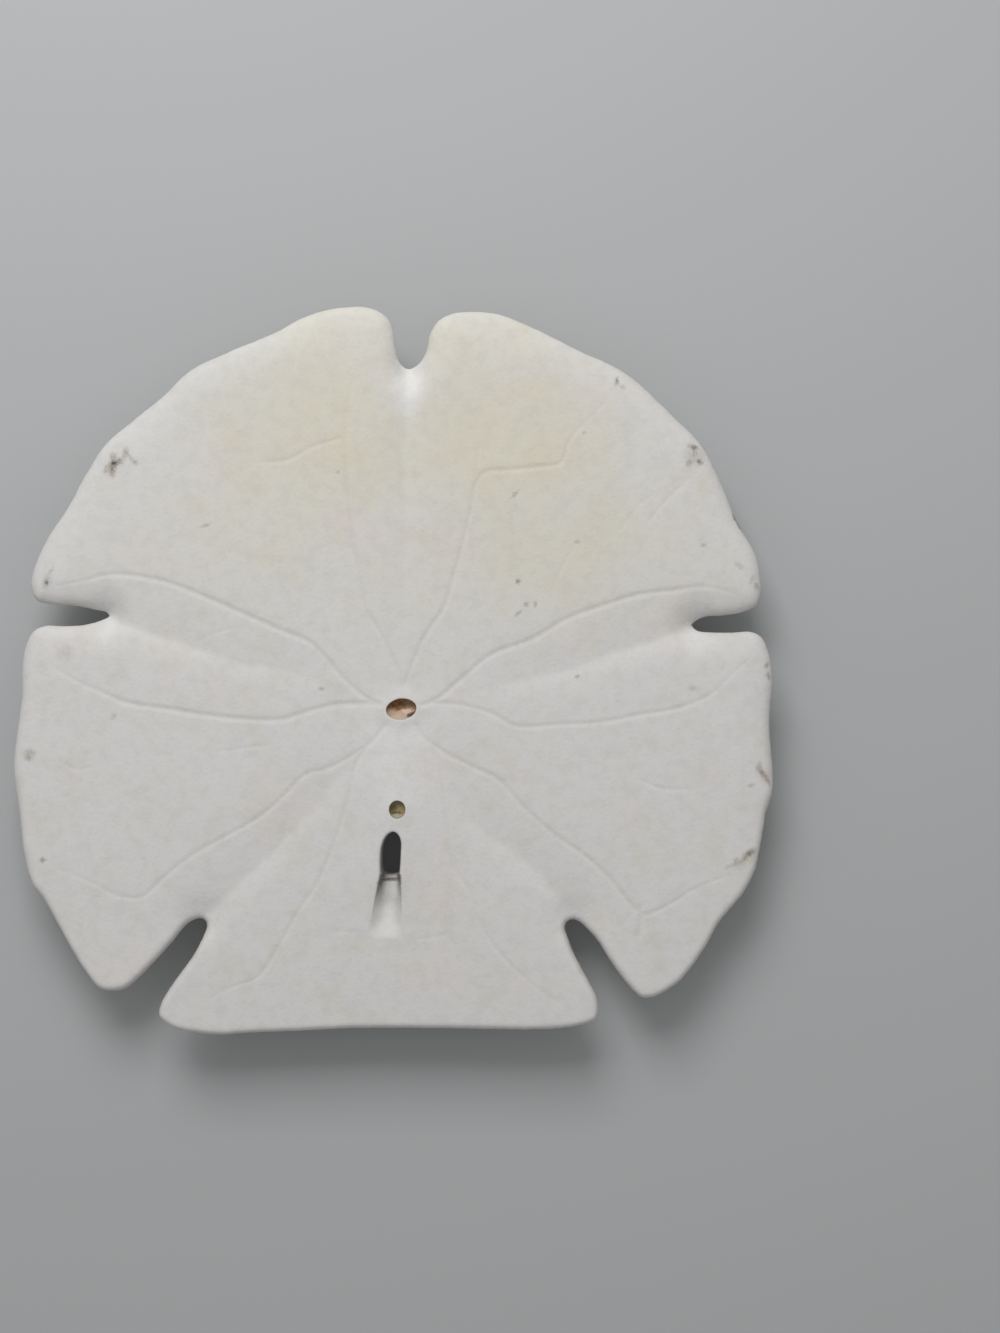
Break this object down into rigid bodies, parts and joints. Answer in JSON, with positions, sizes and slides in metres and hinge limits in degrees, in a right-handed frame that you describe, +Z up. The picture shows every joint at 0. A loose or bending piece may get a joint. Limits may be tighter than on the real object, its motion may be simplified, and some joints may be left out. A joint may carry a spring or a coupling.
{
  "type": "sand dollar",
  "caption": "Bleached arrowhead sand dollar test lying mouth side up: flat notched disc with a rear slot, food grooves and a low domed back; a shore specimen for display.",
  "frame": {"origin": "below the middle of the outline, on the surface that the domed back rests on", "axes": "+X to the right across the test as seen from above with the mouth side up, its widest way; +Y to the front notch; +Z up, out of the mouth side"},
  "size_m": [0.12, 0.115, 0.0128],
  "materials": {
    "bleached_test": "dry matt bleached limestone-like skin, slightly creamy towards the front, fine grained"
  },
  "bodies": {
    "root": {"sand_dollar_test": "bleached_test"}
  },
  "joints": []
}
